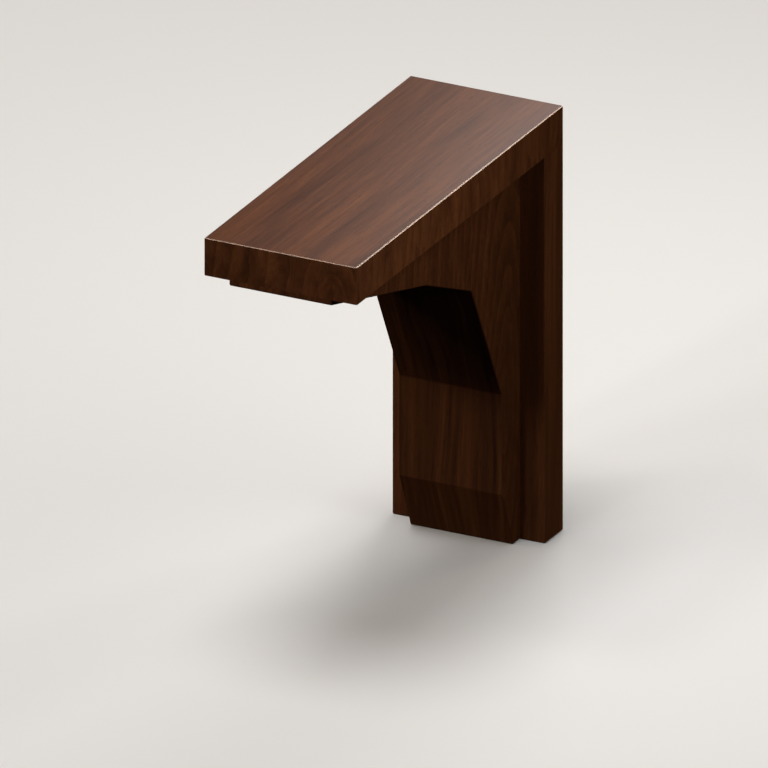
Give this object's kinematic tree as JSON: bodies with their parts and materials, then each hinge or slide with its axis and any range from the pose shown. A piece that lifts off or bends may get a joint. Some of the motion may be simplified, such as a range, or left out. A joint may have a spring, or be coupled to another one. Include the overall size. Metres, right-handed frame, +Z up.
{
  "type": "countertop bracket",
  "caption": "Wooden bracket that carries a counter overhang: a top board, a back board on the wall and a faceted brace in the corner between them.",
  "frame": {"origin": "middle of the back, on the wall's face: half-way across the width and half-way up", "axes": "+Z up, +Y into the wall, so the bracket reaches out along -Y; X across the width"},
  "size_m": [0.113, 0.305, 0.305],
  "materials": {
    "walnut_top": "satin clear finish over walnut, grain front to back",
    "walnut_back": "satin clear finish over walnut, grain upright",
    "walnut_brace": "satin clear finish over walnut, grain upright"
  },
  "bodies": {
    "root": {"top_board": "walnut_top", "back_board": "walnut_back", "brace": "walnut_brace"}
  },
  "joints": []
}
